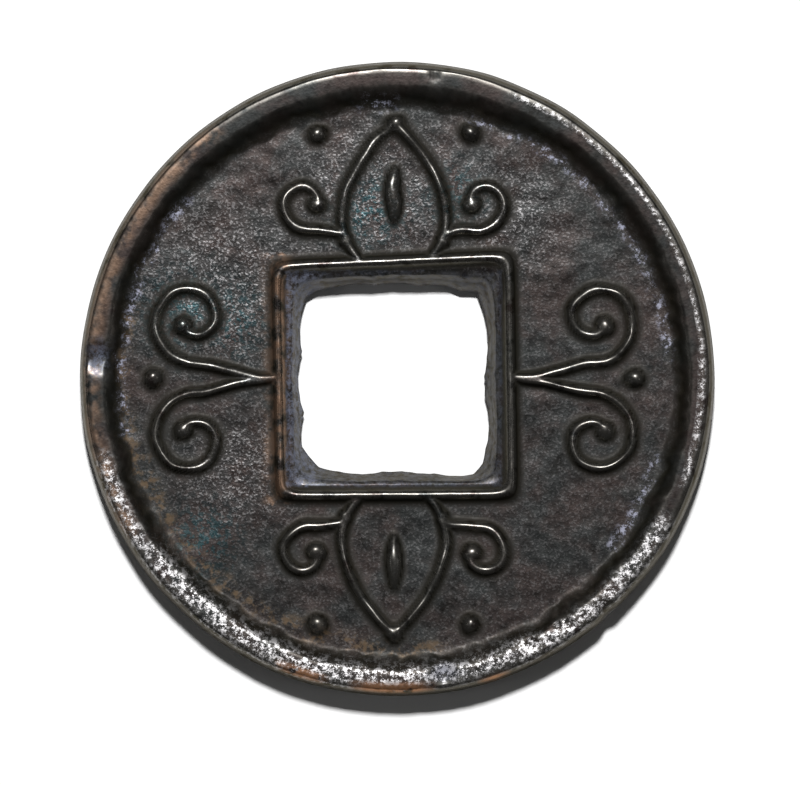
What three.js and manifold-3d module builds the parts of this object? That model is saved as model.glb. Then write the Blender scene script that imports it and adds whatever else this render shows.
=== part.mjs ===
// A cast bronze cash coin: one casting, with a raised rim on both faces, a square hole inside
// a raised square frame on both faces, and leaves and cloud scrolls raised on the obverse.
// Millimetres. The coin lies on its reverse: +Z points up out of the obverse, +Y to the top of
// the design. The origin is the middle of the round outline, on the plane that it rests on.

import * as THREE from "three";
import { mergeVertices } from "three/addons/utils/BufferGeometryUtils.js";
import Module from "manifold-3d";

// Flan: the round body that the mould's two halves leave.
const DIAMETER = 28;
const THICKNESS = 2.4; // over both rims
const OBVERSE_SINK = 0.6; // from the rim down to the obverse field
const REVERSE_SINK = 0.5; // from the rim to the reverse field
const SEAM_HEIGHT = 1.15; // where the mould's halves met: the widest line of the edge
const EDGE_DRAFT = 0.1; // how far the edge leans in from the seam to each shoulder

// Outer rim: a rounded ridge, steep outside and gentle inside, worn flat along its crest.
const OBVERSE_RIM_WIDTH = 1.95;
const REVERSE_RIM_WIDTH = 1.75;
const RIM_LAND_WIDTH = 0.42; // the flat that wear has left on each crest
const SHOULDER_WIDTH = 0.4; // from the land out to the drafted edge
const SHOULDER_HEIGHT = 0.55;

// Hole: a rough square, narrowest at the seam, a little off the middle of the outline.
const HOLE_WIDTH = 8.3;
const HOLE_HEIGHT = 7.9;
const HOLE_OFFSET_X = -0.17;
const HOLE_OFFSET_Y = -0.15;
const HOLE_TOP_RIGHT_RADIUS = 0.85;
const HOLE_TOP_LEFT_RADIUS = 1.35;
const HOLE_BOTTOM_LEFT_RADIUS = 0.95;
const HOLE_BOTTOM_RIGHT_RADIUS = 1.3;

// Square frame round the hole, on both faces: a ridge with rounded shoulders, and inside it
// a narrow ledge from which a sill slopes down to the hole.
const FRAME_SIZE = 11.15; // over its outer feet
const FRAME_RIDGE_WIDTH = 0.9;
const FRAME_OFFSET_X = -0.15;
const FRAME_OFFSET_Y = 0;
const FRAME_CORNER_RADIUS = 0.7;
const FRAME_INNER_CORNER_RADIUS = 0.35;
const FRAME_SHOULDER = 0.28; // width of each rounded shoulder of the ridge
const OBVERSE_FRAME_HEIGHT = 0.46; // above the obverse field
const REVERSE_FRAME_HEIGHT = 0.38;
const LEDGE_WIDTH = 0.08;

// Raised line of the ornament: a low ridge with sloping sides.
const LINE_WIDTH = 0.8; // over the feet
const LINE_CREST_WIDTH = 0.4;
const LINE_HEIGHT = 0.38;
const LINE_SHOULDER_HEIGHT = 0.3;
const ROOT_DEPTH = 0.3; // how far ridges and lines reach down into the field
const FRAME_OVERLAP = 0.35; // how far the lines that grow from the frame run in under it

// Leaf: one above and one below the hole, two bowed sides that meet in a tip round a vein.
const LEAF_FOOT_SPREAD = 3.1; // between the feet of the two sides
const LEAF_BELLY_REACH = 3.3; // first handle of each side, out from the leaf's middle
const LEAF_BELLY_RISE = 1.6;
const LEAF_SHOULDER_REACH = 1.6; // second handle of each side
const LEAF_SHOULDER_DROP = 1.35; // below the tip
const LEAF_TIP_GAP = 0.85; // from the rim's foot to the middle of the tip
const VEIN_WIDTH = 0.85;
const VEIN_LENGTH = 2.7;
const VEIN_FRAME_GAP = 1.15; // from the frame to the near end of the vein

// Curls: one on each side of each leaf, growing out of the leaf's foot.
const CURL_REACH = 3.85; // from the leaf's middle to the curl's centre
const CURL_RISE = 2.15; // from the frame to the curl's centre
const CURL_RADIUS = 1.25;
const CURL_EYE_RADIUS = 0.45;
const CURL_TURNS = 0.8;
const CURL_START = -100; // degrees, where the curl leaves its lead-in
const CURL_BOSS_REACH = 3.35; // from the leaf's middle to the boss beyond the curl
const CURL_BOSS_GAP = 1.25; // from the rim's foot to that boss's centre

// Scrolls: a pair to the left and a pair to the right of the hole, parting from one stem.
const SCROLL_REACH = 2.6; // from the stem to the scroll's centre
const SCROLL_RADIUS = 1.95;
const SCROLL_EYE_RADIUS = 0.5;
const SCROLL_TURNS = 1.15;
const SCROLL_RIM_GAP = 1.25; // from the rim's foot to the top of the scroll
const STEM_PARTING = 1.1; // height over the frame where the two lines begin to part
const STEM_BOSS_GAP = 1.5; // from the rim's foot to the centre of the boss over the stem

// Buds and bosses: the rounded end of each scroll, curl and leaf, and the knobs between them.
const BUD_WIDTH = 1;
const BOSS_WIDTH = 1;
const BUD_HEIGHT = 0.42;

// Smoothness.
const EDGE_SEGMENTS = 96;
const SLOPE_STEPS = 4;
const CORNER_STEPS = 4;
const LEAF_STEPS = 12;
const CURL_STEPS = 18;
const SCROLL_STEPS = 32;
const BUD_SEGMENTS = 10;
const BUD_RINGS = 6;

// Sizes that follow from those above.
const RADIUS = DIAMETER / 2;
const OBVERSE_FIELD = THICKNESS - OBVERSE_SINK;
const REVERSE_FIELD = REVERSE_SINK;
const OBVERSE_FOOT = RADIUS - OBVERSE_RIM_WIDTH;
const REVERSE_FOOT = RADIUS - REVERSE_RIM_WIDTH;
const FRAME_OPENING = FRAME_SIZE - 2 * FRAME_RIDGE_WIDTH;
const FIELD_REACH = OBVERSE_FOOT - FRAME_SIZE / 2; // from the frame's foot to the rim's foot

const wasm = await Module();
wasm.setup();

// A closed geometry as a solid that can be joined and cut.
function solid(geometry) {
  const bare = new THREE.BufferGeometry();
  bare.setAttribute("position", geometry.getAttribute("position"));
  if (geometry.index) bare.setIndex(geometry.index);
  const merged = mergeVertices(bare, 1e-4);
  const index = merged.index.array;
  const corners = [];
  for (let i = 0; i < index.length; i += 3) {
    const [a, b, c] = [index[i], index[i + 1], index[i + 2]];
    if (a !== b && b !== c && c !== a) corners.push(a, b, c);
  }
  const vertProperties = merged.getAttribute("position").array;
  const triVerts = new Uint32Array(corners);
  return new wasm.Manifold(new wasm.Mesh({ numProp: 3, vertProperties, triVerts }));
}

// A solid as a geometry again.
function geometryOf(joined) {
  const { vertProperties, triVerts } = joined.getMesh();
  const geometry = new THREE.BufferGeometry();
  geometry.setAttribute("position", new THREE.BufferAttribute(vertProperties, 3));
  geometry.setIndex(new THREE.BufferAttribute(triVerts, 1));
  geometry.computeVertexNormals();
  return geometry;
}

// The flan with both rims, turned from the coin's half section.
function flan() {
  const edge = RADIUS - EDGE_DRAFT;
  const landOuter = edge - SHOULDER_WIDTH;
  const landInner = landOuter - RIM_LAND_WIDTH;
  const section = new THREE.Path();
  section.moveTo(0, REVERSE_FIELD);
  section.lineTo(REVERSE_FOOT, REVERSE_FIELD);
  addSlope(section, REVERSE_FOOT, REVERSE_FIELD, landInner, 0);
  section.lineTo(landOuter, 0);
  section.quadraticCurveTo(edge, 0, edge, SHOULDER_HEIGHT);
  section.lineTo(RADIUS, SEAM_HEIGHT);
  section.lineTo(edge, THICKNESS - SHOULDER_HEIGHT);
  section.quadraticCurveTo(edge, THICKNESS, landOuter, THICKNESS);
  section.lineTo(landInner, THICKNESS);
  addSlope(section, landInner, THICKNESS, OBVERSE_FOOT, OBVERSE_FIELD);
  section.lineTo(0, OBVERSE_FIELD);
  const turned = new THREE.LatheGeometry(section.getPoints(SLOPE_STEPS), EDGE_SEGMENTS);
  return solid(turned.rotateX(Math.PI / 2));
}

// The gentle inner slope of a rim, level where it meets the field and the land.
function addSlope(section, fromRadius, fromHeight, toRadius, toHeight) {
  const middle = (fromRadius + toRadius) / 2;
  section.bezierCurveTo(middle, fromHeight, middle, toHeight, toRadius, toHeight);
}

// A rectangle about the origin, with a radius of its own at each corner.
function roundedRectangle(width, height, topRight, topLeft, bottomLeft, bottomRight) {
  const [x, y] = [width / 2, height / 2];
  const quarter = Math.PI / 2;
  const outline = new THREE.Shape();
  outline.absarc(x - topRight, y - topRight, topRight, 0, quarter);
  outline.absarc(topLeft - x, y - topLeft, topLeft, quarter, 2 * quarter);
  outline.absarc(bottomLeft - x, bottomLeft - y, bottomLeft, 2 * quarter, 3 * quarter);
  outline.absarc(x - bottomRight, bottomRight - y, bottomRight, 3 * quarter, 4 * quarter);
  return outline;
}

function roundedSquare(size, radius) {
  return roundedRectangle(size, size, radius, radius, radius, radius);
}

// The space of the hole on one side of the seam. At the seam it has the hole's own outline,
// and it grows to the ledge of the frame at the field, which leaves the sill between them.
function holeFlare(fieldHeight) {
  const outline = roundedRectangle(
    HOLE_WIDTH,
    HOLE_HEIGHT,
    HOLE_TOP_RIGHT_RADIUS,
    HOLE_TOP_LEFT_RADIUS,
    HOLE_BOTTOM_LEFT_RADIUS,
    HOLE_BOTTOM_RIGHT_RADIUS,
  );
  const depth = Math.abs(fieldHeight - SEAM_HEIGHT);
  const ledge = FRAME_OPENING - 2 * LEDGE_WIDTH;
  const options = { depth, bevelEnabled: false, curveSegments: CORNER_STEPS };
  const flare = new THREE.ExtrudeGeometry(outline, options);
  flare.translate(0, 0, Math.min(fieldHeight, SEAM_HEIGHT));
  const position = flare.getAttribute("position");
  for (let i = 0; i < position.count; i++) {
    const share = Math.abs(position.getZ(i) - SEAM_HEIGHT) / depth;
    const growX = THREE.MathUtils.lerp(1, ledge / HOLE_WIDTH, share);
    const growY = THREE.MathUtils.lerp(1, ledge / HOLE_HEIGHT, share);
    const middleX = THREE.MathUtils.lerp(HOLE_OFFSET_X, FRAME_OFFSET_X, share);
    const middleY = THREE.MathUtils.lerp(HOLE_OFFSET_Y, FRAME_OFFSET_Y, share);
    position.setX(i, middleX + position.getX(i) * growX);
    position.setY(i, middleY + position.getY(i) * growY);
  }
  return solid(flare);
}

// The square frame, its ridge rising to the given height over the plane at zero and its root
// as far below as both its shoulders and the root's depth.
function frameRidge(height) {
  const outline = roundedSquare(FRAME_SIZE, FRAME_CORNER_RADIUS);
  outline.holes.push(roundedSquare(FRAME_OPENING, FRAME_INNER_CORNER_RADIUS));
  const ridge = new THREE.ExtrudeGeometry(outline, {
    depth: ROOT_DEPTH,
    curveSegments: CORNER_STEPS,
    bevelThickness: height,
    bevelSize: FRAME_SHOULDER,
    bevelOffset: -FRAME_SHOULDER,
    bevelSegments: 3,
  });
  return ridge.translate(0, 0, -ROOT_DEPTH);
}

// A point of a motif: along the side of the hole, and out from the frame's foot.
function at(along, out) {
  return new THREE.Vector3(along, FRAME_SIZE / 2 + out, OBVERSE_FIELD);
}

// A curve that turns about a centre in the plane of the field while it draws in.
class Spiral extends THREE.Curve {
  constructor(centre, radius, eyeRadius, startAngle, sweep) {
    super();
    Object.assign(this, { centre, radius, eyeRadius, startAngle, sweep });
  }

  getPoint(t, target = new THREE.Vector3()) {
    const angle = this.startAngle + this.sweep * t;
    const radius = THREE.MathUtils.lerp(this.radius, this.eyeRadius, t);
    const turned = target.set(Math.cos(angle), Math.sin(angle), 0);
    return turned.multiplyScalar(radius).add(this.centre);
  }
}

// A raised line along a curve in the plane of the field. The section's first axis points
// down, and its second axis lies across the line.
function raisedLine(curve, steps) {
  const foot = LINE_WIDTH / 2;
  const shoulder = (LINE_WIDTH + LINE_CREST_WIDTH) / 4;
  const crest = LINE_CREST_WIDTH / 4;
  const section = new THREE.Shape();
  section.moveTo(ROOT_DEPTH, -foot);
  section.lineTo(ROOT_DEPTH, foot);
  section.lineTo(0, foot);
  section.lineTo(-LINE_SHOULDER_HEIGHT, shoulder);
  section.lineTo(-LINE_HEIGHT, crest);
  section.lineTo(-LINE_HEIGHT, -crest);
  section.lineTo(-LINE_SHOULDER_HEIGHT, -shoulder);
  section.lineTo(0, -foot);
  return new THREE.ExtrudeGeometry(section, { steps, extrudePath: curve });
}

// A low rounded bud or boss, half sunk in the field, longer along the second axis.
function bud(centre, width, length) {
  const ball = new THREE.SphereGeometry(1, BUD_SEGMENTS, BUD_RINGS).rotateX(Math.PI / 2);
  return ball.scale(width / 2, length / 2, BUD_HEIGHT).translate(centre.x, centre.y, centre.z);
}

// A leaf with a vein, and on each side of it a curl and a boss.
function leafMotif() {
  const tip = FIELD_REACH - LEAF_TIP_GAP;
  const vein = at(0, VEIN_FRAME_GAP + VEIN_LENGTH / 2);
  const pieces = [bud(vein, VEIN_WIDTH, VEIN_LENGTH), bud(at(0, tip), BUD_WIDTH, BUD_WIDTH)];
  for (const side of [-1, 1]) {
    const leafSide = new THREE.CubicBezierCurve3(
      at((side * LEAF_FOOT_SPREAD) / 2, -FRAME_OVERLAP),
      at(side * LEAF_BELLY_REACH, LEAF_BELLY_RISE),
      at(side * LEAF_SHOULDER_REACH, tip - LEAF_SHOULDER_DROP),
      at(0, tip),
    );
    pieces.push(raisedLine(leafSide, LEAF_STEPS));
    pieces.push(...curl(side));
    const boss = at(side * CURL_BOSS_REACH, FIELD_REACH - CURL_BOSS_GAP);
    pieces.push(bud(boss, BOSS_WIDTH, BOSS_WIDTH));
  }
  return pieces;
}

// A curl that leaves the leaf's foot, runs along the frame and turns back to the leaf.
function curl(side) {
  const start = THREE.MathUtils.degToRad(side > 0 ? CURL_START : 180 - CURL_START);
  const sweep = side * CURL_TURNS * 2 * Math.PI;
  const centre = at(side * CURL_REACH, CURL_RISE);
  const turn = new Spiral(centre, CURL_RADIUS, CURL_EYE_RADIUS, start, sweep);
  const join = turn.getPoint(0);
  const heading = turn.getTangent(0);
  const foot = at((side * LEAF_FOOT_SPREAD) / 2, 0);
  const reach = foot.distanceTo(join) / 2;
  const line = new THREE.CurvePath();
  const lead = new THREE.Vector3(foot.x + side * reach, foot.y, foot.z);
  line.add(new THREE.CubicBezierCurve3(foot, lead, join.clone().addScaledVector(heading, -reach), join));
  line.add(turn);
  return [raisedLine(line, CURL_STEPS), bud(turn.getPoint(1), BUD_WIDTH, BUD_WIDTH)];
}

// A pair of scrolls that part from one stem, with a boss over the parting.
function scrollMotif() {
  const boss = at(0, FIELD_REACH - STEM_BOSS_GAP);
  const pieces = [bud(boss, BOSS_WIDTH, BOSS_WIDTH)];
  for (const side of [-1, 1]) {
    const start = side > 0 ? Math.PI : 0;
    const sweep = -side * SCROLL_TURNS * 2 * Math.PI;
    const centre = at(side * SCROLL_REACH, FIELD_REACH - SCROLL_RIM_GAP - SCROLL_RADIUS);
    const turn = new Spiral(centre, SCROLL_RADIUS, SCROLL_EYE_RADIUS, start, sweep);
    const join = turn.getPoint(0);
    const line = new THREE.CurvePath();
    line.add(
      new THREE.CubicBezierCurve3(
        at(0, -FRAME_OVERLAP),
        at(0, STEM_PARTING),
        new THREE.Vector3(join.x, (join.y + FRAME_SIZE / 2) / 2 + STEM_PARTING / 2, join.z),
        join,
      ),
    );
    line.add(turn);
    pieces.push(raisedLine(line, SCROLL_STEPS));
    pieces.push(bud(turn.getPoint(1), BUD_WIDTH, BUD_WIDTH));
  }
  return pieces;
}

// The whole casting.
function coin() {
  let casting = flan();
  for (const field of [OBVERSE_FIELD, REVERSE_FIELD]) {
    casting = casting.subtract(holeFlare(field));
  }
  const obverseFrame = frameRidge(OBVERSE_FRAME_HEIGHT).translate(0, 0, OBVERSE_FIELD);
  const reverseFrame = frameRidge(REVERSE_FRAME_HEIGHT).rotateY(Math.PI).translate(0, 0, REVERSE_FIELD);
  const raised = [obverseFrame, reverseFrame];
  for (const quarterTurns of [0, 2]) {
    raised.push(...leafMotif().map((piece) => piece.rotateZ((quarterTurns * Math.PI) / 2)));
  }
  for (const quarterTurns of [1, 3]) {
    raised.push(...scrollMotif().map((piece) => piece.rotateZ((quarterTurns * Math.PI) / 2)));
  }
  for (const piece of raised) {
    casting = casting.add(solid(piece.translate(FRAME_OFFSET_X, FRAME_OFFSET_Y, 0)));
  }
  return geometryOf(casting);
}

const bronze = new THREE.MeshStandardMaterial({ color: "#4a4438", roughness: 0.5, metalness: 0.8 });
const mesh = new THREE.Mesh(coin(), bronze);
mesh.name = "coin";

const object = new THREE.Group();
object.add(mesh);

export default object;
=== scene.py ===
import math

import bmesh
import bpy
import numpy as np
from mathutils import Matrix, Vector, noise


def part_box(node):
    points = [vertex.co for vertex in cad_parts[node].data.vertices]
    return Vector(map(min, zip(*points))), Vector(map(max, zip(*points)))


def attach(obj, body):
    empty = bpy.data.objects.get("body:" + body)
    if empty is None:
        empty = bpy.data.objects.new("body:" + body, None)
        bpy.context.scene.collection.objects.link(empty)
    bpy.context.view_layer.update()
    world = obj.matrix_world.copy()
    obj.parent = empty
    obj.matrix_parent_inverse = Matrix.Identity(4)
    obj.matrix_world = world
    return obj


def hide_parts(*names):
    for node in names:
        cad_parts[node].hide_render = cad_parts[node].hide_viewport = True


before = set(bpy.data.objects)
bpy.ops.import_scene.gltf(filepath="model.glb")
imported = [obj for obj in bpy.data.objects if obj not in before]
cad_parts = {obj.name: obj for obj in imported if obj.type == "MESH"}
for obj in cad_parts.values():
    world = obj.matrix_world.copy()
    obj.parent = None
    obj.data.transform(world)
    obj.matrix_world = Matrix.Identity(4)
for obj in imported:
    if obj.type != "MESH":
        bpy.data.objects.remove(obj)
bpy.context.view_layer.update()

# The casting's body. The real coin is one pour of leaded bronze out of a two-part mould, so its
# flan, rims and frames are one skin here: one closed section of the coin, drawn from the hole's
# seam over the obverse and back under the reverse, is spun once round and squared up inside.
MM = 0.001
low_corner, high_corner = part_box("coin")
RADIUS = (high_corner[0] - low_corner[0]) / 2 / MM
THICKNESS = (high_corner[2] - low_corner[2]) / MM
OBVERSE_FIELD = 1.8
REVERSE_FIELD = 0.5
SEAM_HEIGHT = 1.15
THROAT_HEIGHT = 0.6
HOLE_HALF = 4.1
LEDGE_HALF = 4.6
FRAME_INNER_HALF = 4.68
FRAME_OUTER_HALF = 5.6
OBVERSE_FOOT = 12.05
REVERSE_FOOT = 12.25
LAND_INNER = 13.02
LAND_OUTER = 13.6
EDGE_INSET = 0.08
OBVERSE_FRAME_HEIGHT = 0.46
REVERSE_FRAME_HEIGHT = 0.38
TURN_STEPS = 640


def rounded_step(share):
    """A smooth climb from 0 to 1, level at both ends."""
    share = min(max(share, 0.0), 1.0)
    return 0.5 - 0.5 * math.cos(math.pi * share)


def ridge(share):
    """The height of a rounded ridge across its width, from 0 at its feet to 1 at its crest."""
    return rounded_step(min(share, 1.0 - share) / 0.46)


def face_section(field, toward, rim_height, foot, frame_height, steps):
    """One face's section from the hole's throat to the rim's outer shoulder, as (radius, height)."""
    sill, frame_steps, field_steps, slope, land = steps
    points = []
    for i in range(sill):
        share = i / sill
        height = THROAT_HEIGHT + (field - THROAT_HEIGHT) * rounded_step(share) ** 0.8
        points.append((HOLE_HALF + (LEDGE_HALF - HOLE_HALF) * share, height))
    for i in range(frame_steps):
        share = i / frame_steps
        radius = FRAME_INNER_HALF + (FRAME_OUTER_HALF - FRAME_INNER_HALF) * share
        points.append((radius, field + toward * frame_height * ridge(share)))
    for i in range(field_steps):
        points.append((FRAME_OUTER_HALF + (foot - FRAME_OUTER_HALF) * i / field_steps, field))
    for i in range(slope):
        share = i / slope
        points.append((foot + (LAND_INNER - foot) * share, field + (rim_height - field) * rounded_step(share)))
    for i in range(land):
        points.append((LAND_INNER + (LAND_OUTER - LAND_INNER) * i / land, rim_height))
    return points


def shoulder_section(rim_height, steps):
    """The rounded shoulder from the rim's worn land down or up to the seam of the edge."""
    points = []
    reach = RADIUS - EDGE_INSET - LAND_OUTER
    for i in range(steps):
        angle = math.pi / 2 * i / steps
        radius = LAND_OUTER + reach * math.sin(angle)
        height = rim_height + (SEAM_HEIGHT - rim_height) * (1 - math.cos(angle)) * 0.8
        points.append((radius, height))
    return points


obverse = face_section(OBVERSE_FIELD, 1, THICKNESS, OBVERSE_FOOT, OBVERSE_FRAME_HEIGHT, (9, 13, 60, 14, 4))
reverse = face_section(REVERSE_FIELD, -1, 0.0, REVERSE_FOOT, REVERSE_FRAME_HEIGHT, (4, 8, 13, 7, 3))
section = obverse + shoulder_section(THICKNESS, 7) + [(RADIUS, SEAM_HEIGHT)]
section += reversed(reverse[1:] + shoulder_section(0.0, 6))

shell = bmesh.new()
loop = [shell.verts.new((radius, 0.0, height)) for radius, height in section]
edges = [shell.edges.new((a, b)) for a, b in zip(loop, loop[1:] + loop[:1])]
bmesh.ops.spin(
    shell,
    geom=loop + edges,
    cent=(0, 0, 0),
    axis=(0, 0, 1),
    angle=2 * math.pi,
    steps=TURN_STEPS,
    use_merge=True,
)
bmesh.ops.remove_doubles(shell, verts=shell.verts, dist=1e-5)
bmesh.ops.recalc_face_normals(shell, faces=shell.faces)

# The hole and its frames. The real ones are pressed into the mould by a square core and come out
# of it askew: the frame's top bar climbs to the right, and the hole's edge is cut and burred
# unevenly. The spun rings are drawn out to that shape near the hole and are left round at the rim.
HOLE_OUTLINE = [(3.95, 2.1), (3.93, 0.9), (3.82, 0.1), (3.84, -0.75), (3.92, -1.0), (3.88, -3.1)]
HOLE_OUTLINE += [(3.76, -3.72), (3.35, -4.2), (2.8, -4.28), (1.6, -4.16), (0.2, -4.05), (-0.7, -4.1)]
HOLE_OUTLINE += [(-2.6, -4.08), (-3.45, -3.9), (-3.95, -3.35), (-4.2, -3.0), (-4.12, -1.5), (-4.2, 1.2)]
HOLE_OUTLINE += [(-4.18, 3.1), (-4.0, 3.62), (-3.5, 3.9), (-2.6, 4.08), (-1.0, 4.12), (0.9, 4.1)]
HOLE_OUTLINE += [(2.2, 4.08), (2.75, 3.86), (3.5, 3.84), (3.62, 3.5)]
FRAME_SQUARENESS = 19.0
FRAME_MIDDLE = (-0.15, 0.02)
FRAME_CORNER_SHIFTS = [((1, 1), (-0.12, 0.26)), ((-1, 1), (-0.02, -0.24)), ((-1, -1), (0.2, 0.0)), ((1, -1), (0.05, 0.05))]
outline_angles = [math.atan2(y, x) for x, y in HOLE_OUTLINE]
outline_order = np.argsort(outline_angles)
outline_angles = np.array(outline_angles)[outline_order]
outline_radii = np.array([math.hypot(x, y) for x, y in HOLE_OUTLINE])[outline_order]


def squared(x, y):
    """Where a point of the spun rings goes once the rings near the hole are drawn out square."""
    radius = math.hypot(x, y)
    angle = math.atan2(y, x)
    at_frame = min(max((radius - HOLE_HALF) / (FRAME_INNER_HALF - HOLE_HALF), 0.0), 1.0)
    left_round = rounded_step((radius - FRAME_OUTER_HALF) / (OBVERSE_FOOT - FRAME_OUTER_HALF))
    power = FRAME_SQUARENESS
    draw = (abs(math.cos(angle)) ** power + abs(math.sin(angle)) ** power) ** (-1 / power)
    draw = 1 + (draw - 1) * (1 - left_round)
    frame_x = radius * draw * math.cos(angle) + FRAME_MIDDLE[0] * (1 - left_round)
    frame_y = radius * draw * math.sin(angle) + FRAME_MIDDLE[1] * (1 - left_round)
    for (corner_x, corner_y), (shift_x, shift_y) in FRAME_CORNER_SHIFTS:
        share_x = min(max(0.5 + 0.5 * corner_x * frame_x / FRAME_OUTER_HALF, 0.0), 1.0)
        share_y = min(max(0.5 + 0.5 * corner_y * frame_y / FRAME_OUTER_HALF, 0.0), 1.0)
        frame_x += shift_x * share_x * share_y * (1 - left_round)
        frame_y += shift_y * share_x * share_y * (1 - left_round)
    hole_radius = float(np.interp(angle, outline_angles, outline_radii, period=2 * math.pi))
    hole_radius += radius - HOLE_HALF
    hole_x = hole_radius * math.cos(angle)
    hole_y = hole_radius * math.sin(angle)
    return hole_x + (frame_x - hole_x) * at_frame, hole_y + (frame_y - hole_y) * at_frame


for vert in shell.verts:
    vert.co.x, vert.co.y = squared(vert.co.x, vert.co.y)

# The raised ornament. On the real casting the relief is cut into the mould's clay as soft-sided
# grooves, so each line stands up as a low rounded ridge with flared feet. It is a leaf with curls
# above and below the hole, and a pair of cloud scrolls on each side.
LINE_HALF = 0.36
LINE_CREST_HALF = 0.06
LINE_HEIGHT = 0.4
BUD_HEIGHT = 0.44
FIELD_REACH = OBVERSE_FOOT - 5.575
LEAF_FOOT = 1.55
LEAF_TIP_GAP = 0.85
LEAF_BELLY = (3.3, 1.6)
LEAF_SHOULDER = (1.6, 1.35)
VEIN = (2.5, 0.42, 1.35)
CURL_MIDDLE = (3.85, 2.15)
CURL_RADII = (1.25, 0.45)
CURL_TURNS = 0.8
CURL_START = math.radians(-100)
CURL_BOSS = (3.35, 1.25)
SCROLL_RADII = (1.95, 0.5)
SCROLL_REACH = 2.6
SCROLL_TURNS = 1.15
SCROLL_RIM_GAP = 1.25
STEM_PARTING = 1.1
STEM_BOSS_GAP = 1.5
BUD_HALF = 0.5
CURVE_STEPS = 90
CURL_ROOT_STEP = 14
LINE_WOBBLE = 0.09
LINE_UNEVENNESS = 0.35


def bezier(a, b, c, d):
    """Points along a curve from a to d with the handles b and c."""
    t = np.linspace(0, 1, CURVE_STEPS)[:, None]
    a, b, c, d = (np.array(p) for p in (a, b, c, d))
    return a * (1 - t) ** 3 + 3 * b * t * (1 - t) ** 2 + 3 * c * t**2 * (1 - t) + d * t**3


def spiral(middle, radii, start, sweep):
    """Points along a curve that turns about its middle while it draws in."""
    t = np.linspace(0, 1, CURVE_STEPS)
    radius = radii[0] + (radii[1] - radii[0]) * t
    angle = start + sweep * t
    return np.stack([middle[0] + radius * np.cos(angle), middle[1] + radius * np.sin(angle)], axis=1)


def leaf_motif():
    """The leaf's lines, and its buds and bosses as (along, out, half width, half length)."""
    tip = FIELD_REACH - LEAF_TIP_GAP
    lines, knobs = [], [(0, VEIN[0], VEIN[1], VEIN[2]), (0, tip, BUD_HALF, BUD_HALF)]
    for side in (-1, 1):
        belly = (side * LEAF_BELLY[0], LEAF_BELLY[1])
        shoulder = (side * LEAF_SHOULDER[0], tip - LEAF_SHOULDER[1])
        outline = bezier((side * LEAF_FOOT, -0.35), belly, shoulder, (0, tip))
        root = outline[CURL_ROOT_STEP]
        lines.append(outline)
        start = CURL_START if side > 0 else math.pi - CURL_START
        middle = (side * CURL_MIDDLE[0], CURL_MIDDLE[1])
        turn = spiral(middle, CURL_RADII, start, side * CURL_TURNS * 2 * math.pi)
        lead = (side * (LEAF_FOOT + 0.9), 0.0)
        near = turn[0] - (turn[1] - turn[0]) * 35
        lines += [bezier(root, lead, near, turn[0]), turn]
        knobs.append((turn[-1][0], turn[-1][1], BUD_HALF, BUD_HALF))
        knobs.append((side * CURL_BOSS[0], FIELD_REACH - CURL_BOSS[1], BUD_HALF, BUD_HALF))
    return lines, knobs


def scroll_motif():
    """The scrolls' lines, and their buds and boss."""
    lines, knobs = [], [(0, FIELD_REACH - STEM_BOSS_GAP, BUD_HALF, BUD_HALF)]
    for side in (-1, 1):
        middle = (side * SCROLL_REACH, FIELD_REACH - SCROLL_RIM_GAP - SCROLL_RADII[0])
        start = math.pi if side > 0 else 0.0
        turn = spiral(middle, SCROLL_RADII, start, -side * SCROLL_TURNS * 2 * math.pi)
        join = (turn[0][0], turn[0][1] / 2 + STEM_PARTING / 2)
        lines += [bezier((0, -0.35), (0, STEM_PARTING), join, turn[0]), turn]
        knobs.append((turn[-1][0], turn[-1][1], BUD_HALF, BUD_HALF))
    return lines, knobs


def relief(x, y):
    """The ornament's height over the field at each point."""
    height = np.zeros_like(x)
    for quarter in range(4):
        lines, knobs = leaf_motif() if quarter % 2 == 0 else scroll_motif()
        angle = quarter * math.pi / 2
        side_x, side_y = x - FRAME_MIDDLE[0], y - FRAME_MIDDLE[1]
        along = side_x * math.cos(angle) + side_y * math.sin(angle)
        out = side_y * math.cos(angle) - side_x * math.sin(angle) - 5.575
        near = np.where((out > -0.6) & (out < FIELD_REACH + 1) & (abs(along) < 6))[0]
        points = np.concatenate(lines)
        for part in np.array_split(near, 24):
            gap = np.hypot(along[part][:, None] - points[:, 0], out[part][:, None] - points[:, 1]).min(axis=1)
            share = np.clip((gap - LINE_CREST_HALF) / (LINE_HALF - LINE_CREST_HALF), 0, 1)
            height[part] = np.maximum(height[part], LINE_HEIGHT * (0.5 + 0.5 * np.cos(np.pi * share)))
        for middle_along, middle_out, half_width, half_length in knobs:
            gap = np.hypot((along - middle_along) / half_width, (out - middle_out) / half_length)
            dome = BUD_HEIGHT * (1 - np.clip(gap, 0, 1) ** 2.4) ** 0.8
            height = np.maximum(height, dome)
    return height


shell.verts.ensure_lookup_table()


def wander(x, y, z, scale, seed):
    """Smooth noise between about -1 and 1, one value for each point."""
    return np.array([noise.noise(Vector((a * scale + seed, b * scale, c * scale))) for a, b, c in zip(x, y, z)])


place = np.array([vert.co for vert in shell.verts])
distance = np.hypot(place[:, 0], place[:, 1])
on_obverse = (place[:, 2] > OBVERSE_FIELD - 1e-4) & (distance < LAND_INNER)
face_x, face_y = place[on_obverse, 0], place[on_obverse, 1]
level = np.zeros_like(face_x)
shift_x = LINE_WOBBLE * wander(face_x, face_y, level, 0.9, 31.0)
shift_y = LINE_WOBBLE * wander(face_x, face_y, level, 0.9, 47.0)
unevenness = 1 + LINE_UNEVENNESS * wander(face_x, face_y, level, 0.55, 5.0)
raised = np.zeros(len(place))
raised[on_obverse] = relief(face_x + shift_x, face_y + shift_y) * unevenness
place[:, 2] = np.maximum(place[:, 2], np.where(raised > 0, OBVERSE_FIELD + raised, 0))

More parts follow.
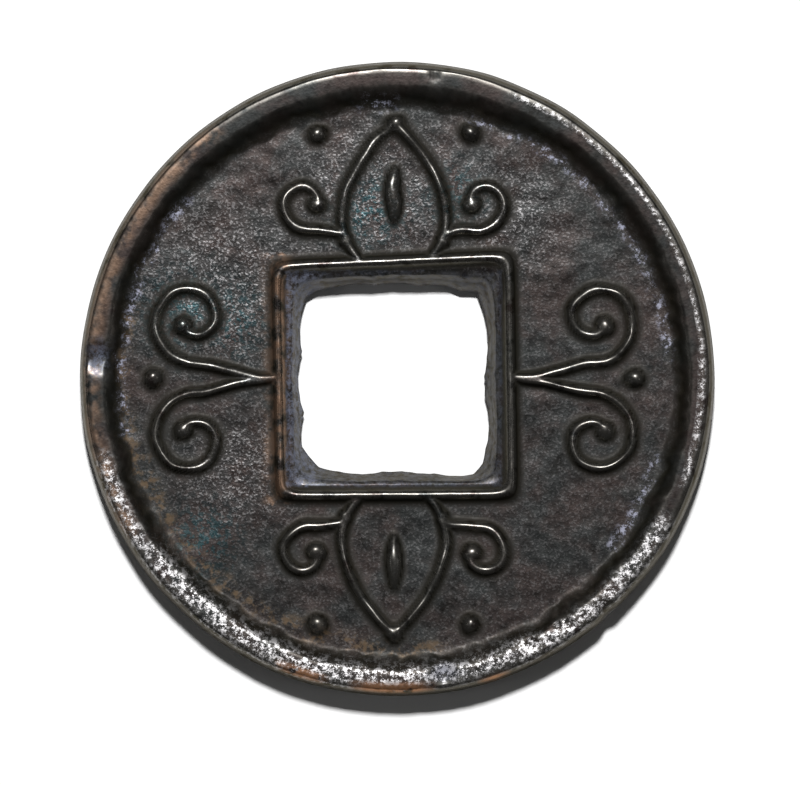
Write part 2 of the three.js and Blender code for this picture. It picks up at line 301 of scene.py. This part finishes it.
# The casting's unevenness. Clay moulds and two thousand years in the ground leave no line true:
# the outline wanders, the field heaves, the rim is dented, and the hole's edge has burrs.
OUTLINE_WANDER = 0.05
FIELD_HEAVE = 0.03
HOLE_WANDER = 0.035
FOOT_WANDER = 0.22
TOP_FOOT_INSET = 0.25
RIM_PITTING = 0.05
DENTS = [(176, 13.15, 0.8, 0.22), (-81, 13.1, 0.7, 0.3), (-48, 13.7, 0.5, 0.2), (-63, 13.0, 0.35, 0.2)]
DENTS += [(-57, 12.95, 0.25, 0.16), (-55, 13.1, 0.25, 0.16), (247, 13.4, 0.3, 0.12), (83, 13.5, 0.3, 0.1)]


x, y, z = place.T
angle = np.arctan2(y, x)
distance = np.hypot(x, y)
near_edge = np.clip((distance - 12.0) / 2.0, 0, 1)
near_hole = np.clip(1 - (distance - HOLE_HALF) / 2.0, 0, 1)
outward = OUTLINE_WANDER * near_edge * (wander(x, y, z * 0, 0.35, 3.0) - 0.6)
outward += HOLE_WANDER * near_hole * wander(x, y, z * 0, 2.4, 17.0)
near_foot = np.exp(-(((distance - 12.3) / 0.55) ** 2)) * (z > SEAM_HEIGHT)
outward += near_foot * FOOT_WANDER * (wander(x, y, z * 0, 0.75, 23.0) + 0.6 * wander(x, y, z * 0, 2.2, 29.0))
outward -= near_foot * TOP_FOOT_INSET * np.clip(np.sin(angle), 0, 1) ** 3
on_rim = np.clip((distance - 12.3) / 0.5, 0, 1) * (z > SEAM_HEIGHT) * np.clip(-np.sin(angle) + 0.25, 0.12, 1)
lift = FIELD_HEAVE * (wander(x, y, z * 0, 0.5, 7.0) + 0.5 * wander(x, y, z * 0, 1.6, 19.0))
lift -= RIM_PITTING * on_rim * np.clip(wander(x, y, z, 3.6, 37.0) + 0.15, 0, 1)
lift *= np.where((z > 0.3) & (z < THICKNESS - 0.02), 1, 0.25) * np.sign(z - SEAM_HEIGHT)
for degrees, dent_radius, dent_half, depth in DENTS:
    dent_x = dent_radius * math.cos(math.radians(degrees))
    dent_y = dent_radius * math.sin(math.radians(degrees))
    gap = np.hypot(x - dent_x, y - dent_y) / dent_half
    lift -= depth * np.clip(1 - gap, 0, 1) * (z > SEAM_HEIGHT)
    outward -= 0.5 * depth * np.clip(1 - gap, 0, 1)
x = x * (1 + outward / distance)
y = y * (1 + outward / distance)
z = np.clip(z + lift, 0, THICKNESS)
for vert, new_x, new_y, new_z in zip(shell.verts, x, y, z):
    vert.co = Vector((new_x, new_y, new_z)) * MM

skin = bpy.data.meshes.new("coin_casting")
shell.to_mesh(skin)
shell.free()
for polygon in skin.polygons:
    polygon.use_smooth = True
coin = bpy.data.objects.new("coin_casting", skin)
bpy.context.scene.collection.objects.link(coin)

# The patina. Dark brown and olive copper oxides cover the bronze, grainy from the mould's sand,
# rubbed back to a coppery brown on the ridges, with pale and rusty deposits at the rim's foot.
# Light is painted in too: the slopes and hollows are painted darker as shade, and painted
# highlights, glints and sheen lie on the field and the rim.
PURPLE_BROWN = (0.042, 0.033, 0.031, 1)
SLATE_GREY = (0.030, 0.032, 0.032, 1)
# Painted shade: the dark olive-black that the steep slopes are painted towards.
PAINTED_SLOPE_SHADE = (0.046, 0.042, 0.028, 1)
# Dirt and painted shade: the near black of dark blotches and of the hollows.
DEEP_DIRT_AND_SHADE = (0.010, 0.009, 0.008, 1)
TEAL = (0.028, 0.062, 0.070, 1)
BARE_METAL = (0.125, 0.12, 0.108, 1)
# Painted highlight: the near-white of the glints and specks laid into the colour.
PAINTED_HIGHLIGHT_WHITE = (0.88, 0.86, 0.87, 1)
# Copper and painted sheen: the dull copper of the rim's left side and the frame's left bar.
DULL_COPPER_AND_SHEEN = (0.27, 0.170, 0.115, 1)
# Worn copper and painted highlight: the bright coppery line along the bottom edge.
FRESH_COPPER_AND_GLINT = (0.46, 0.23, 0.12, 1)
# Painted sheen: the lighter grey of the field where it glints.
PAINTED_SHEEN_GREY = (0.056, 0.054, 0.054, 1)
PALE_DEPOSIT = (0.33, 0.34, 0.43, 1)
SLATE_DUST = (0.13, 0.145, 0.20, 1)
RUSTY_DEPOSIT = (0.115, 0.074, 0.040, 1)


def save_mask(name, values):
    """Keeps one number for each point of the casting under a name that the patina reads."""
    layer = skin.attributes.new(name, "FLOAT", "POINT")
    layer.data.foreach_set("value", np.clip(values, 0, 1).astype(np.float32))


edge_ends = np.zeros(len(skin.edges) * 2, dtype=np.int32)
skin.edges.foreach_get("vertices", edge_ends)
edge_ends = edge_ends.reshape(-1, 2)
point_normals = np.zeros(len(skin.vertices) * 3, dtype=np.float32)
skin.vertices.foreach_get("normal", point_normals)
steep = 1 - np.abs(point_normals.reshape(-1, 3)[:, 2])


def averaged(values, rounds):
    """The values after each point has taken its neighbours' average that many times."""
    count = np.bincount(edge_ends.ravel(), minlength=len(values))
    for _ in range(rounds):
        total = np.bincount(edge_ends[:, 0], weights=values[edge_ends[:, 1]], minlength=len(values))
        total += np.bincount(edge_ends[:, 1], weights=values[edge_ends[:, 0]], minlength=len(values))
        values = total / count
    return values


def arcs_at(places):
    """A mask along arcs of the rim, each with its middle in degrees, half length and band."""
    mask = np.zeros_like(angle)
    for middle, half_length, radius, half_band in places:
        off = np.abs((np.degrees(angle) - middle + 180) % 360 - 180)
        along = np.clip((half_length - off) / 4 + 0.5, 0, 1)
        mask = np.maximum(mask, along * np.exp(-(((distance - radius) / half_band) ** 2)))
    return mask * (z > SEAM_HEIGHT * 0.7)


PALE_ARCS = [(94, 3.5, 12.35, 0.3), (39, 35, 11.95, 0.2), (-28, 11, 11.9, 0.2), (166, 27, 12.15, 0.22)]
RUST_ARCS = [(231, 34, 11.8, 0.4), (268, 12, 11.9, 0.3), (185, 20, 12.0, 0.3)]
# The copper arc on the rim's left is partly dull copper, partly a painted highlight on its outer half as if lit from
# the left.
COPPER_AND_SHEEN_ARCS = [(168, 42, 13.5, 0.32)]
# The fresh arcs paint a bright coppery line along the bottom of the rim: partly worn copper, partly a painted
# highlight where the edge catches the lamp.
FRESH_COPPER_AND_GLINT_ARCS = [(252, 3.5, 13.6, 0.16), (269, 6.5, 13.62, 0.17), (288, 1.5, 13.8, 0.12)]
# The silver arcs are painted highlights: bright specks and thin lines on the rim where the key lamp's reflection
# falls.
PAINTED_HIGHLIGHT_ARCS = [(238, 24, 13.2, 0.5), (277, 22, 13.1, 0.42), (312, 20, 13.3, 0.35), (205, 10, 13.4, 0.3)]
PAINTED_HIGHLIGHT_ARCS += [(35, 32, 13.5, 0.07), (352, 12, 13.4, 0.1)]
CRUST_ARCS = [(176, 3.0, 13.2, 0.45), (279, 2.5, 13.1, 0.35)]
TEAL_SPOTS = [(-9.5, 3.0, 1.6), (-1.2, 7.4, 1.5), (-7.2, 2.6, 1.4), (2.6, 8.0, 1.2), (-8.5, -7.0, 1.4)]
# The sparkling spots are where the field is painted lighter and glinting, a painted sheen, and where its grain bumps
# more.
PAINTED_SHEEN_AND_GRAIN_SPOTS = [(-7.5, 4.0, 4.5), (-1.0, 8.0, 4.0), (4.5, 7.0, 3.0), (-7.0, -4.0, 3.0)]
DUSTY_SILL_HALF = 4.75
away = (z - averaged(z, 8)) * np.sign(z - SEAM_HEIGHT)
# How far each point lies below its neighbours; it darkens the hollows below, partly as dirt, partly as painted
# shade.
crevice = (averaged(z, 4) - z) * np.sign(z - SEAM_HEIGHT)
painted_sheen_and_grain = np.full_like(x, 0.25)
for spot_x, spot_y, spread in PAINTED_SHEEN_AND_GRAIN_SPOTS:
    painted_sheen_and_grain = np.maximum(painted_sheen_and_grain, np.exp(-((x - spot_x) ** 2 + (y - spot_y) ** 2) / spread**2))
painted_sheen_and_grain *= np.where(distance > 12.4, 0.1, 1)
inside_frame = np.maximum(np.abs(x - FRAME_MIDDLE[0]), np.abs(y - FRAME_MIDDLE[1])) < DUSTY_SILL_HALF
left_bar = np.exp(-(((x + 5.25) / 0.45) ** 2)) * (np.abs(y) < 5.5)
teal = np.zeros_like(x)
for spot_x, spot_y, spread in TEAL_SPOTS:
    teal = np.maximum(teal, np.exp(-((x - spot_x) ** 2 + (y - spot_y) ** 2) / spread**2))
save_mask("worn", (away - 0.008) / 0.035)
save_mask("dirt_and_shade", crevice / 0.022 * np.where(inside_frame, 0.4, 1))
save_mask("painted_sheen_and_grain", painted_sheen_and_grain)
save_mask("dust", inside_frame * np.clip(0.35 + (-x - 3.2), 0.35, 1) * (z > THROAT_HEIGHT * 0.9))
save_mask("painted_highlight", arcs_at(PAINTED_HIGHLIGHT_ARCS))
save_mask("fresh_copper_and_glint", arcs_at(FRESH_COPPER_AND_GLINT_ARCS))
save_mask("crust", arcs_at(CRUST_ARCS))
save_mask("steep", steep * 2.2 * np.where(inside_frame, 0.5, 1))
save_mask("pale", arcs_at(PALE_ARCS))
save_mask("rust", arcs_at(RUST_ARCS))
save_mask("copper_and_sheen", np.maximum(arcs_at(COPPER_AND_SHEEN_ARCS) * 0.6, left_bar * (z > SEAM_HEIGHT)))
save_mask("teal", teal * (z > SEAM_HEIGHT))

patina = bpy.data.materials.new("patinated_bronze")
patina.use_nodes = True
nodes = patina.node_tree.nodes
links = patina.node_tree.links
nodes.clear()


def add(kind, **inputs):
    """A new node of the patina with its inputs set or linked by name."""
    node = nodes.new(kind)
    for name, value in inputs.items():
        socket = node.inputs[name.replace("_", " ")]
        if isinstance(value, bpy.types.NodeSocket):
            links.new(value, socket)
        else:
            socket.default_value = value
    return node


def grain(millimetres, detail, roughness):
    """Noise whose lumps are about that many millimetres across, on the casting's own place."""
    texture = add("ShaderNodeTexNoise", Vector=place_mm, Scale=1 / millimetres)
    texture.inputs["Detail"].default_value = detail
    texture.inputs["Roughness"].default_value = roughness
    return texture.outputs["Fac"]


def band(value, low, high):
    """The value's climb from low to high, as a share from 0 to 1."""
    node = nodes.new("ShaderNodeMapRange")
    node.interpolation_type = "SMOOTHSTEP"
    links.new(value, node.inputs["Value"])
    node.inputs["From Min"].default_value = low
    node.inputs["From Max"].default_value = high
    return node.outputs["Result"]


def math_of(operation, a, b):
    node = nodes.new("ShaderNodeMath")
    node.operation = operation
    node.use_clamp = operation != "SUBTRACT"
    for socket, value in zip(node.inputs, (a, b)):
        if isinstance(value, bpy.types.NodeSocket):
            links.new(value, socket)
        else:
            socket.default_value = value
    return node.outputs[0]


def blend(share, a, b):
    """The colour a where the share is 0 and b where it is 1."""
    node = nodes.new("ShaderNodeMix")
    node.data_type = "RGBA"
    links.new(share, node.inputs[0])
    for socket, value in ((node.inputs[6], a), (node.inputs[7], b)):
        if isinstance(value, bpy.types.NodeSocket):
            links.new(value, socket)
        else:
            socket.default_value = value
    return node.outputs[2]


def mask(name):
    node = nodes.new("ShaderNodeAttribute")
    node.attribute_name = name
    return node.outputs["Fac"]


own_place = add("ShaderNodeTexCoord").outputs["Object"]
scaled = add("ShaderNodeMapping", Vector=own_place, Scale=(1000, 1000, 1000))
place_mm = scaled.outputs["Vector"]

mottle = grain(2.4, 5, 0.6)
blotch = grain(0.7, 4, 0.6)
sand = grain(0.24, 2, 0.6)
fine = grain(0.11, 1, 0.5)
speckle = grain(0.3, 6, 0.85)
worn, dirt_and_shade, steep_sides = mask("worn"), mask("dirt_and_shade"), mask("steep")
painted_sheen_and_grain, painted_highlight = mask("painted_sheen_and_grain"), mask("painted_highlight")

colour = blend(band(mottle, 0.4, 0.6), PURPLE_BROWN, SLATE_GREY)
# Painted sheen: the field is painted lighter grey in the sparkling spots.
colour = blend(math_of("MULTIPLY", painted_sheen_and_grain, band(blotch, 0.36, 0.6)), colour, PAINTED_SHEEN_GREY)
colour = blend(math_of("MULTIPLY", band(blotch, 0.5, 0.7), 0.6), colour, DEEP_DIRT_AND_SHADE)
colour = blend(math_of("MULTIPLY", mask("teal"), band(sand, 0.46, 0.6)), colour, TEAL)
# Painted shade: steep slopes are painted a darker olive-black, the more so the steeper they tilt.
colour = blend(math_of("MULTIPLY", steep_sides, 0.7), colour, PAINTED_SLOPE_SHADE)
bare = math_of("MULTIPLY", worn, band(blotch, 0.34, 0.5))
colour = blend(math_of("MULTIPLY", bare, 0.6), colour, BARE_METAL)
# Painted glints: near-white specks laid into the field's colour.
painted_glint = math_of("MULTIPLY", painted_sheen_and_grain, band(fine, 0.55, 0.63))
painted_glint = math_of("MULTIPLY", painted_glint, math_of("SUBTRACT", 1.0, steep_sides))
colour = blend(math_of("MULTIPLY", painted_glint, 0.16), colour, PAINTED_HIGHLIGHT_WHITE)
# Copper and painted sheen: a warm copper on the rim's left and on the frame's left bar.
colour = blend(math_of("MULTIPLY", mask("copper_and_sheen"), band(blotch, 0.36, 0.6)), colour, DULL_COPPER_AND_SHEEN)
# Dirt and painted shade: the hollows are painted near black.
colour = blend(math_of("MULTIPLY", dirt_and_shade, 0.6), colour, DEEP_DIRT_AND_SHADE)
# Painted highlight: near-white specks along the rim's silver arcs.
painted_highlight_specks = math_of("MULTIPLY", painted_highlight, band(speckle, 0.5, 0.56))
colour = blend(painted_highlight_specks, colour, PAINTED_HIGHLIGHT_WHITE)
# Worn copper and painted highlight: bright coppery streaks along the bottom edge.
colour = blend(math_of("MULTIPLY", mask("fresh_copper_and_glint"), band(blotch, 0.3, 0.42)), colour, FRESH_COPPER_AND_GLINT)
rust = math_of("MULTIPLY", mask("rust"), band(grain(0.6, 5, 0.7), 0.46, 0.64))
colour = blend(math_of("MULTIPLY", rust, 0.8), colour, RUSTY_DEPOSIT)
pale = math_of("MULTIPLY", mask("pale"), band(grain(0.34, 6, 0.8), 0.51, 0.62))
colour = blend(pale, colour, PALE_DEPOSIT)
dust = math_of("MULTIPLY", math_of("MAXIMUM", mask("dust"), mask("crust")), band(speckle, 0.4, 0.6))
colour = blend(math_of("MULTIPLY", dust, 0.8), colour, SLATE_DUST)
crust = math_of("MAXIMUM", math_of("MAXIMUM", pale, rust), math_of("MAXIMUM", dust, dirt_and_shade))
metallic = math_of("SUBTRACT", 0.85, math_of("MULTIPLY", crust, 0.75))
roughness = add("ShaderNodeMapRange", Value=sand)
roughness.inputs["From Min"].default_value = 0.3
roughness.inputs["From Max"].default_value = 0.7
roughness.inputs["To Min"].default_value = 0.42
roughness.inputs["To Max"].default_value = 0.30
rough = math_of("SUBTRACT", roughness.outputs["Result"], math_of("MULTIPLY", worn, 0.06))
rough = math_of("ADD", rough, math_of("MULTIPLY", math_of("MAXIMUM", crust, painted_highlight), 0.2))
kept_grain = math_of("SUBTRACT", 1.0, math_of("MULTIPLY", math_of("MAXIMUM", worn, steep_sides), 0.8))
grain_share = math_of("ADD", math_of("MULTIPLY", painted_sheen_and_grain, 0.75), math_of("ADD", painted_highlight, 0.25))
kept_grain = math_of("MULTIPLY", math_of("MAXIMUM", kept_grain, painted_highlight), grain_share)
sand_height = math_of("MULTIPLY", sand, kept_grain)
fine_height = math_of("MULTIPLY", fine, kept_grain)
bump = add("ShaderNodeBump", Height=sand_height, Distance=0.000015, Strength=1.0)
fine_bump = add("ShaderNodeBump", Height=fine_height, Distance=0.000011, Strength=1.0, Normal=bump.outputs["Normal"])
shader = add(
    "ShaderNodeBsdfPrincipled",
    Base_Color=colour,
    Roughness=rough,
    Normal=fine_bump.outputs["Normal"],
    Metallic=metallic,
    Specular_Tint=(0.4, 0.38, 0.34, 1),
)
add("ShaderNodeOutputMaterial", Surface=shader.outputs["BSDF"])
skin.materials.append(patina)

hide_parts("coin")
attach(coin, "root")

# The paper that the coin lies on: a plain white sheet that shows pure white to the camera and
# keeps the coin's shadow.
FLOOR_HALF = 0.6
PAPER = (0.80, 0.80, 0.80, 1)
PAPER_SEEN = (1, 1, 1, 1)
paper_mesh = bpy.data.meshes.new("paper")
sheet = bmesh.new()
bmesh.ops.create_grid(sheet, x_segments=1, y_segments=1, size=FLOOR_HALF)
sheet.to_mesh(paper_mesh)
sheet.free()
paper = bpy.data.objects.new("paper", paper_mesh)
bpy.context.scene.collection.objects.link(paper)
white = bpy.data.materials.new("white_paper")
white.use_nodes = True
white_nodes = white.node_tree.nodes
white_links = white.node_tree.links
white_shader = white_nodes["Principled BSDF"]
white_shader.inputs["Roughness"].default_value = 0.9
white_shader.inputs["Specular IOR Level"].default_value = 0.1
seen = white_nodes.new("ShaderNodeLightPath")
shown = white_nodes.new("ShaderNodeMix")
shown.data_type = "RGBA"
shown.inputs[6].default_value = PAPER
shown.inputs[7].default_value = PAPER_SEEN
seen_or_mirrored = white_nodes.new("ShaderNodeMath")
seen_or_mirrored.operation = "MAXIMUM"
white_links.new(seen.outputs["Is Camera Ray"], seen_or_mirrored.inputs[0])
white_links.new(seen.outputs["Is Glossy Ray"], seen_or_mirrored.inputs[1])
white_links.new(seen_or_mirrored.outputs[0], shown.inputs[0])
white_links.new(shown.outputs[2], white_shader.inputs["Base Color"])
paper_mesh.materials.append(white)

# The light and the camera. A soft lamp stands beyond the top of the picture, high enough to throw
# a narrow shadow below the coin, with a weak lamp on each side. The camera looks straight down.
LAMP_DISTANCE = 0.5
CAMERA_HEIGHT = 0.35
MM_PER_PIXEL = 0.04403
PICTURE_MIDDLE = (400.0, 392.5)
COIN_MIDDLE_PIXEL = (397.4, 378.8)
SENSOR_WIDTH = 36.0
PICTURE_WIDTH = 800


def lamp(name, azimuth, elevation, power, size):
    """A square soft lamp that looks at the coin from that side, with its height in degrees."""
    light = bpy.data.lights.new(name, "AREA")
    light.energy = power
    light.size = size
    holder = bpy.data.objects.new(name, light)
    bpy.context.scene.collection.objects.link(holder)
    rise = math.radians(elevation)
    side = math.radians(azimuth)
    toward = Vector((math.cos(rise) * math.cos(side), math.cos(rise) * math.sin(side), math.sin(rise)))
    holder.location = toward * LAMP_DISTANCE
    holder.rotation_euler = toward.to_track_quat("Z", "Y").to_euler()


lamp("key", 90, 64.5, 2.9, 0.045)
lamp("left_fill", 185, 40, 0.05, 0.1)
lamp("right_fill", -5, 40, 0.05, 0.1)
world = bpy.data.worlds.new("room")
bpy.context.scene.world = world
world.use_nodes = True
world.node_tree.nodes["Background"].inputs["Color"].default_value = (1, 1, 1, 1)
world.node_tree.nodes["Background"].inputs["Strength"].default_value = 0.03

view = bpy.data.cameras.new("view")
view.sensor_width = SENSOR_WIDTH
view.lens = SENSOR_WIDTH * CAMERA_HEIGHT / (PICTURE_WIDTH * MM_PER_PIXEL * MM)
camera = bpy.data.objects.new("view", view)
camera.location = (
    (PICTURE_MIDDLE[0] - COIN_MIDDLE_PIXEL[0]) * MM_PER_PIXEL * MM,
    (COIN_MIDDLE_PIXEL[1] - PICTURE_MIDDLE[1]) * MM_PER_PIXEL * MM,
    CAMERA_HEIGHT + SEAM_HEIGHT * MM,
)
bpy.context.scene.collection.objects.link(camera)
bpy.context.scene.camera = camera
bpy.context.scene.view_settings.view_transform = "Standard"
